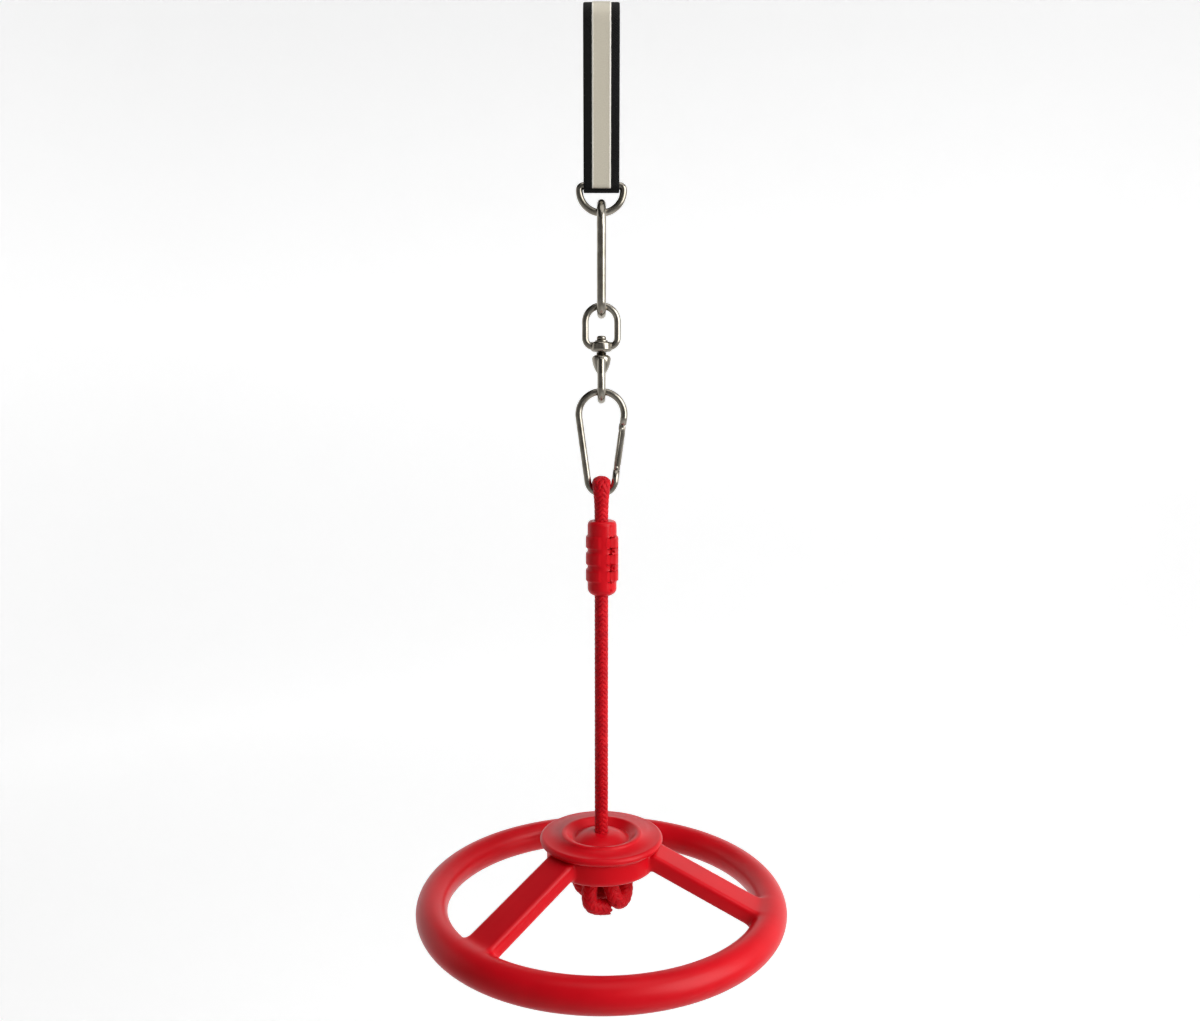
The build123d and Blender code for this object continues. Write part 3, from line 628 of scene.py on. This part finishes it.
# ---------------------------------------------------------------- strap
def follow(bm, ring, frames):
    """Extrude a ring of edges from station to station, and give the last ring."""
    for here, there in zip(frames, frames[1:]):
        made = bmesh.ops.extrude_edge_only(bm, edges=ring)["geom"]
        moved = [g for g in made if isinstance(g, bmesh.types.BMVert)]
        bmesh.ops.transform(bm, matrix=there @ here.inverted(), verts=moved)
        ring = [e for e in made if isinstance(e, bmesh.types.BMEdge) and all(v in moved for v in e.verts)]
    return ring


class StrapLine:
    """The line of one layer of the strap, round the bar and the D-ring, seen from the side."""

    def __init__(self, offset):
        self.top = STRAP_INNER_TOP + offset
        self.bottom = STRAP_INNER_BOTTOM + offset
        self.drop = -D_BAR
        self.lean = math.asin((self.top - self.bottom) / self.drop)
        self.side = self.drop * math.cos(self.lean)
        over = self.top * (math.pi + 2 * self.lean)
        under = self.bottom * (math.pi - 2 * self.lean)
        # where the top arc, front leg, bottom arc and back leg end, along the line from the back leg's top
        self.ends = np.cumsum([over, self.side, under, self.side])

    def frame(self, along):
        """The station at a distance along the line: X across the strap, Y outward, Z along it."""
        along %= self.ends[3]
        if along < self.ends[0]:
            angle, centre, radius, straight = -self.lean + along / self.top, 0.0, self.top, 0.0
        elif along < self.ends[1]:
            angle, centre, radius, straight = math.pi + self.lean, 0.0, self.top, along - self.ends[0]
        elif along < self.ends[2]:
            angle = math.pi + self.lean + (along - self.ends[1]) / self.bottom
            centre, radius, straight = -self.drop, self.bottom, 0.0
        else:
            angle, centre, radius, straight = -self.lean, -self.drop, self.bottom, along - self.ends[2]
        outward = Vector((0, math.cos(angle), math.sin(angle)))
        forward = Vector((1, 0, 0)).cross(outward)
        place = Vector((0, 0, centre)) + outward * radius + forward * straight
        made = Matrix((Vector((1, 0, 0)), outward, forward)).transposed().to_4x4()
        made.translation = place
        return made

    def reach(self, height, back):
        """How far along the line a height on the back or front leg is."""
        down = (-height - self.top * math.sin(self.lean)) / math.cos(self.lean)
        return self.ends[3] - down if back else self.ends[0] + down


def band(line, start, stop, width, thickness, spacing=1.6 * MM, rounding=0.4):
    """A flat band along the strap's line with soft edges; lay_flat later gives it a UV map across and along it in
    millimetres.
    """
    count = max(2, round((stop - start) / spacing))
    stations = [start + (stop - start) * i / count for i in range(count + 1)]
    frames = [line.frame(s) for s in stations]
    bm = bmesh.new()
    corners = [bm.verts.new((x * width / 2, y * thickness / 2, 0)) for x, y in ((-1, -1), (1, -1), (1, 1), (-1, 1))]
    for a, b in zip(corners, corners[1:] + corners[:1]):
        bm.edges.new((a, b))
    bmesh.ops.bevel(bm, geom=corners, offset=rounding * thickness, segments=3, profile=0.5, affect="VERTICES",
                    material=-1)
    flats = [e for e in bm.edges if abs(e.verts[0].co.x - e.verts[1].co.x) > width / 2]
    bmesh.ops.subdivide_edges(bm, edges=flats, cuts=7)
    bmesh.ops.transform(bm, matrix=frames[0], verts=bm.verts)
    first = bm.edges[:]
    last = follow(bm, first, frames)
    closed = abs(stop - start - line.ends[3]) < 1e-6
    if not closed:
        bmesh.ops.contextual_create(bm, geom=first)
        bmesh.ops.contextual_create(bm, geom=last)
    return bm


UV_STEP = 0.4  # how finely a place along the strap is found, in millimetres


def lay_flat(piece, line):
    """Give a band its UV map, across and along in millimetres."""
    mesh = piece.data
    flat = mesh.uv_layers.new(name="along")
    whole = line.ends[3] / MM
    places = np.array([line.frame(s * MM).translation[1:] for s in np.arange(0, whole, UV_STEP)])
    co = np.array([v.co for v in mesh.vertices])
    reach = np.array([np.argmin(((places - c[1:]) ** 2).sum(1)) for c in co]) * UV_STEP
    for face in mesh.polygons:
        ends = [reach[v] for v in face.vertices]
        for loop, vertex in zip(face.loop_indices, face.vertices):
            along = reach[vertex]
            if max(ends) - along > whole / 2:
                along += whole
            flat.data[loop].uv = (co[vertex][0] / MM, along)


def stitch_row(bm, line, places, thread=0.75 * MM):
    """Stitches as small rounded bars, each from one (across, along) place to the next."""
    for (x0, s0), (x1, s1) in places:
        here, there = line.frame(s0), line.frame(s1)
        start = here @ Vector((x0, 0, 0))
        end = there @ Vector((x1, 0, 0))
        made = bmesh.ops.create_uvsphere(bm, u_segments=6, v_segments=5, radius=0.5)["verts"]
        run = end - start
        turn = run.to_track_quat("Z", "Y").to_matrix().to_4x4()
        size = Matrix.Diagonal((thread, thread, run.length * 0.96, 1))
        bmesh.ops.transform(bm, matrix=Matrix.Translation((start + end) / 2) @ turn @ size, verts=made)


def stitches(start, stop, length):
    """A straight row of stitches between two (across, along) places."""
    start, stop = Vector(start), Vector(stop)
    count = max(1, round((stop - start).length / length))
    return [(start.lerp(stop, i / count), start.lerp(stop, (i + 0.86) / count)) for i in range(count)]


class BuildStrap(bpy.types.Operator):
    """Make the webbing loop, its sewn tail, the reflective tape and their stitching"""

    bl_idname = "grip.build_strap"
    bl_label = "Strap"

    def execute(self, context):
        sizes = context.scene.grip_strap
        cloth = material("woven_polyester_webbing", webbing_cloth)
        tape_cloth = material("glass_bead_reflective_tape", reflective_tape)
        thick = sizes.thickness
        loop = StrapLine(thick / 2)
        webbing = new_piece("strap_loop", band(loop, 0, loop.ends[3], sizes.width, thick), cloth, "strap")
        lay_flat(webbing, loop)
        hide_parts("strap_webbing")

        low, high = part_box("strap_overlap")
        outer = StrapLine(1.5 * thick)
        tail = new_piece("strap_tail", band(outer, outer.reach(low.z, True), outer.reach(high.z, True), sizes.width,
                                            thick), cloth, "strap")
        lay_flat(tail, outer)
        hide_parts("strap_overlap")

        on_top = StrapLine(thick + TAPE_THICKNESS / 2)
        start = on_top.reach(TAPE_BACK_END, True) - on_top.ends[3]
        tape = new_piece("reflective_strip", band(on_top, start, on_top.reach(TAPE_LOW.z, False), sizes.tape_width,
                                                  TAPE_THICKNESS, rounding=0.25), tape_cloth, "strap")
        lay_flat(tape, on_top)
        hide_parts("reflective_tape")

        # the tail is sewn with a box and a cross, seen on it and on the inside of the leg
        thread = material("black_polyester_thread", black_thread)
        bm = bmesh.new()
        for layer in (StrapLine(2 * thick), StrapLine(0)):
            first = layer.reach(low.z, True) + 4 * MM
            last = layer.reach(high.z, True) - 4 * MM
            side = sizes.width / 2 - 3 * MM
            rows = [((-side, first), (side, first)), ((-side, last), (side, last)), ((-side, first), (-side, last)),
                    ((side, first), (side, last)), ((-side, first), (side, last)), ((side, first), (-side, last))]
            for row in rows:
                stitch_row(bm, layer, stitches(*row, sizes.stitch))
        new_piece("tail_stitching", bm, thread, "strap")

        # the tape is sewn down along both its edges with pale thread
        pale = material("pale_polyester_thread", pale_thread)
        bm = bmesh.new()
        face = StrapLine(thick + TAPE_THICKNESS)
        first = face.reach(TAPE_BACK_END, True) - face.ends[3] + 1.2 * MM
        last = face.reach(TAPE_LOW.z, False) - 1.2 * MM
        side = sizes.tape_width / 2 - 0.9 * MM
        for x in (-side, side):
            count = round((last - first) / sizes.stitch)
            marks = [first + (last - first) * i / count for i in range(count + 1)]
            stitch_row(bm, face, [((x, a), (x, a + 0.85 * (b - a))) for a, b in zip(marks, marks[1:])], 0.5 * MM)
        new_piece("tape_stitching", bm, pale, "strap")
        return {"FINISHED"}


# ---------------------------------------------------------------- metalwork
class BuildMetal(bpy.types.Operator):
    """Finish the D-ring, both snap hooks and the swivel in bright nickel"""

    bl_idname = "grip.build_metal"
    bl_label = "Metalwork"

    def execute(self, context):
        nickel = material("nickel_plated_steel", nickel_steel)
        for node in METAL_NODES:
            smooth_copy(node, nickel)
        wire = material("hard_drawn_spring_steel", spring_wire)
        for hook in ("upper_hook", "lower_hook"):
            smooth_copy(hook + "_gate_spring", wire, 60)
        return {"FINISHED"}


# ---------------------------------------------------------------- clamp, hub and wheel
def rounded_box(place, half, rounding):
    """Distance to a box with rounded edges."""
    over = np.abs(place) - (np.array(half) - rounding)
    return np.linalg.norm(np.maximum(over, 0), axis=1) + np.minimum(over.max(1), 0) - rounding


def soft_union(a, b, reach):
    """Union of two distances with a rounded inner corner."""
    share = np.maximum(reach - np.abs(a - b), 0) / reach
    return np.minimum(a, b) - share ** 3 * reach / 6


def settle(shape, places, rounds=5):
    """Move points onto the surface of a shape."""
    step = 0.04 * MM
    for _ in range(rounds):
        value = shape.distance(places)
        slope = np.stack([shape.distance(places + step * axis) - shape.distance(places - step * axis)
                          for axis in np.eye(3)], 1) / (2 * step)
        size = np.maximum((slope ** 2).sum(1), 0.2)
        places = places - slope * (value / size)[:, None]
    return places


def mould(name, bm, shape, mesh_size, made, body):
    """Turn a rough mesh into even faces, move them onto a shape's surface and finish them as one moulding."""
    bmesh.ops.recalc_face_normals(bm, faces=bm.faces)
    rough = bpy.data.meshes.new(name + "_rough")
    bm.to_mesh(rough)
    bm.free()
    blank = bpy.data.objects.new(name + "_rough", rough)
    bpy.context.scene.collection.objects.link(blank)
    remesh = blank.modifiers.new("remesh", "REMESH")
    remesh.mode = "VOXEL"
    remesh.voxel_size = mesh_size
    bpy.context.view_layer.update()
    mesh = bpy.data.meshes.new_from_object(blank.evaluated_get(bpy.context.evaluated_depsgraph_get()))
    bpy.data.objects.remove(blank)
    places = np.empty(len(mesh.vertices) * 3)
    mesh.vertices.foreach_get("co", places)
    mesh.vertices.foreach_set("co", settle(shape, places.reshape(-1, 3)).ravel())
    mesh.materials.clear()
    mesh.materials.append(made)
    mesh.shade_smooth()
    mesh.update()
    piece = bpy.data.objects.new(name, mesh)
    bpy.context.scene.collection.objects.link(piece)
    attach(piece, body)
    return piece


TAB_ANGLES = ((160, 266, 1), (286, 355, -1))
TAB_PITCH = 12 * MM
TAB_HEIGHT = 8.4 * MM
TAB_RADIUS = 11 * MM
TAB_PROUD = 1.3 * MM
TAB_SINK = 0.9 * MM
BLOCK_ANGLES = (303, 375, 0)
BLOCK_HEIGHT = 3.8 * MM
SEAM_ANGLE = math.radians(-60)
CHANNEL_RADIUS = 5.3 * MM
STRAND_OFFSET = 5.2 * MM


class ClampShape:
    """The clamp's two halves as one moulding: a plain body, raised tabs and blocks, and the seam between them."""

    def __init__(self):
        self.low, self.high = CLAMP_LOW.z, CLAMP_HIGH.z
        self.middle = (self.low + self.high) / 2 - 0.3 * MM
        self.raised = []
        # first angle, last angle, which end fades (0 for none), middle and height
        for step in (-1, 0, 1):
            for first, last, fade in TAB_ANGLES:
                self.raised.append((first, last, fade, self.middle + step * TAB_PITCH, TAB_HEIGHT))
        for step in (-0.5, 0.5):
            self.raised.append((*BLOCK_ANGLES, self.middle + step * TAB_PITCH, BLOCK_HEIGHT))

    def wall(self, places, spread=3 * MM, radius=10.5 * MM, shift=0.5 * MM):
        """Distance outside the plain wall, seen from above."""
        return np.hypot(places[:, 0] - shift, np.maximum(np.abs(places[:, 1]) - spread, 0)) - radius

    def distance(self, places):
        wall = self.wall(places)
        middle, half = (self.low + self.high) / 2, (self.high - self.low) / 2
        rounding = np.where(places[:, 2] > middle, 3.2, 5.5) * MM
        side = np.stack([wall + rounding, np.abs(places[:, 2] - middle) - half + rounding], 1)
        whole = np.linalg.norm(np.maximum(side, 0), axis=1) + np.minimum(side.max(1), 0) - rounding
        seam = np.abs(places[:, 0] * math.sin(SEAM_ANGLE) - places[:, 1] * math.cos(SEAM_ANGLE))
        whole = np.maximum(whole, -np.maximum(seam - 0.22 * MM, -wall - 0.7 * MM))
        angle = np.degrees(np.arctan2(places[:, 1], places[:, 0])) % 360
        for first, last, fade, height, tall in self.raised:
            # a tab fades into the body towards the front
            turn = (angle - (first + last) / 2 + 180) % 360 - 180
            sunk = TAB_SINK * np.clip(fade * turn / ((last - first) / 2), 0, 1)
            local = np.stack([np.radians(turn) * TAB_RADIUS, places[:, 2] - height, wall + sunk], 1)
            tab = rounded_box(local, (math.radians(last - first) * TAB_RADIUS / 2, tall / 2, TAB_PROUD), 1.0 * MM)
            whole = soft_union(whole, tab, 1.6 * MM)
        channel = np.maximum(self.wall(places, STRAND_OFFSET, CHANNEL_RADIUS, 0), self.low + 3 * MM - places[:, 2])
        front = np.hypot(places[:, 0], places[:, 1] + STRAND_OFFSET) - CHANNEL_RADIUS
        return np.maximum(whole, -np.minimum(channel, front))


class BuildClamp(bpy.types.Operator):
    """Mould the clamp's halves, with the tabs and blocks that lock along the seam"""

    bl_idname = "grip.build_clamp"
    bl_label = "Rope clamp"

    def execute(self, context):
        shape = ClampShape()
        tall = shape.high - shape.low
        bm = bmesh.new()
        made = bmesh.ops.create_cone(bm, cap_ends=True, segments=48, radius1=11.6 * MM, radius2=11.6 * MM, depth=tall)
        bmesh.ops.scale(bm, verts=made["verts"], vec=(1, 1.12, 1))
        bmesh.ops.translate(bm, verts=made["verts"], vec=(0, 0, (shape.high + shape.low) / 2))
        piece = mould("clamp_moulding", bm, shape, 0.42 * MM, material("moulded_polyethylene", moulded_plastic), "rope")
        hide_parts("rope_clamp_front", "rope_clamp_back")
        return {"FINISHED"}


class WheelShape:
    """Rim, spokes and barrel as one moulding with soft joins."""

    def __init__(self, sizes):
        self.sizes = sizes
        self.rim_radius = WHEEL_HIGH.x - sizes.tube
        self.rim_height = LOWER_SHELL_LOW.z + sizes.tube
        self.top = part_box("hub_cap")[1].z - CREST_HEIGHT - FLANGE_HEIGHT
        self.bottom = BARREL_BOTTOM
        inner = BARREL_RADIUS - 2 * MM
        start = self.top - 0.4 * MM - sizes.spoke_thickness / 2
        slope = math.atan2(start - self.rim_height, self.rim_radius - inner)
        self.spokes = []
        for angle in SPOKE_ANGLES:
            around = Vector((math.cos(math.radians(angle)), math.sin(math.radians(angle)), 0))
            along = around * math.cos(slope) - Vector((0, 0, math.sin(slope)))
            across = Vector((0, 0, 1)).cross(around)
            length = (self.rim_radius - inner) / math.cos(slope)
            centre = around * inner + Vector((0, 0, start)) + along * length / 2
            self.spokes.append((Matrix((across, along.cross(across), along)), centre, length))

    def distance(self, places):
        sizes = self.sizes
        flat = np.hypot(places[:, 0], places[:, 1])
        rim = np.hypot(flat - self.rim_radius, places[:, 2] - self.rim_height) - sizes.tube
        middle = (self.top + self.bottom) / 2
        side = np.stack([flat, places[:, 2] - middle], 1)
        barrel = rounded_box(side, (BARREL_RADIUS, (self.top - self.bottom) / 2), 3 * MM)
        reach = 2.4 * sizes.blend
        whole = None
        for axes, centre, length in self.spokes:
            local = (places - np.array(centre)) @ np.array(axes).T
            spoke = rounded_box(local, (sizes.spoke_width / 2, sizes.spoke_thickness / 2, length / 2), 2.6 * MM)
            whole = spoke if whole is None else np.minimum(whole, spoke)
        whole = soft_union(whole, rim, 1.6 * reach)
        whole = soft_union(whole, barrel, reach)
        whole = np.maximum(whole, places[:, 2] - self.top)
        return np.maximum(whole, ROPE_HOLE - flat)


class BuildWheel(bpy.types.Operator):
    """Mould the rim, spokes and barrel as one piece, and finish the hub's cap"""

    bl_idname = "grip.build_wheel"
    bl_label = "Wheel"

    def execute(self, context):
        sizes = context.scene.grip_wheel
        plastic = material("moulded_polyethylene", moulded_plastic)
        shape = WheelShape(sizes)
        bm = bmesh.new()
        ring = bmesh.ops.create_circle(bm, segments=32, radius=sizes.tube)["verts"]
        bmesh.ops.rotate(bm, verts=ring, cent=(0, 0, 0), matrix=Matrix.Rotation(math.pi / 2, 3, "X"))
        bmesh.ops.translate(bm, verts=ring, vec=(shape.rim_radius, 0, shape.rim_height))
        bmesh.ops.spin(bm, geom=bm.verts[:] + bm.edges[:], cent=(0, 0, 0), axis=(0, 0, 1), angle=math.tau,
                       steps=160, use_merge=True)
        for axes, centre, length in shape.spokes:
            size = Matrix.Diagonal((sizes.spoke_width, sizes.spoke_thickness, length, 1))
            turn = axes.transposed().to_4x4()
            bmesh.ops.create_cube(bm, size=1, matrix=Matrix.Translation(centre) @ turn @ size)
        tall = shape.top - shape.bottom
        bmesh.ops.create_cone(bm, cap_ends=True, segments=96, radius1=BARREL_RADIUS, radius2=BARREL_RADIUS, depth=tall,
                              matrix=Matrix.Translation((0, 0, shape.top - tall / 2)))
        wheel = mould("wheel_moulding", bm, shape, sizes.mesh_size, plastic, "wheel")
        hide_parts("wheel_upper_shell", "wheel_lower_shell")
        smooth_copy("hub_cap", plastic, 28)
        return {"FINISHED"}


# ---------------------------------------------------------------- panel and run
OPERATORS = (BuildStage, BuildStrap, BuildMetal, BuildClamp, BuildRope, BuildWheel)
GROUPS = {"grip_stage": StageSizes, "grip_rope": RopeSizes, "grip_strap": StrapSizes, "grip_metal": MetalSizes,
          "grip_wheel": WheelSizes}


class GripPanel(bpy.types.Panel):
    """Lists the pieces of the hanging grip wheel and their sizes"""

    bl_idname = "VIEW3D_PT_grip_wheel"
    bl_label = "Grip wheel"
    bl_space_type = "VIEW_3D"
    bl_region_type = "UI"
    bl_category = "Grip wheel"

    def draw(self, context):
        for operator in OPERATORS:
            self.layout.operator(operator.bl_idname)
        for name, group in GROUPS.items():
            sizes = getattr(context.scene, name)
            for key in group.__annotations__:
                self.layout.prop(sizes, key)


def register():
    for name, group in GROUPS.items():
        bpy.utils.register_class(group)
        setattr(bpy.types.Scene, name, PointerProperty(type=group))
    for made in (*OPERATORS, GripPanel):
        bpy.utils.register_class(made)


def unregister():
    for made in reversed((*OPERATORS, GripPanel)):
        bpy.utils.unregister_class(made)
    for name, group in GROUPS.items():
        delattr(bpy.types.Scene, name)
        bpy.utils.unregister_class(group)


def main():
    register()
    bpy.ops.grip.build_stage()
    bpy.ops.grip.build_strap()
    bpy.ops.grip.build_metal()
    bpy.ops.grip.build_clamp()
    bpy.ops.grip.build_rope()
    bpy.ops.grip.build_wheel()


if __name__ == "__main__":
    main()
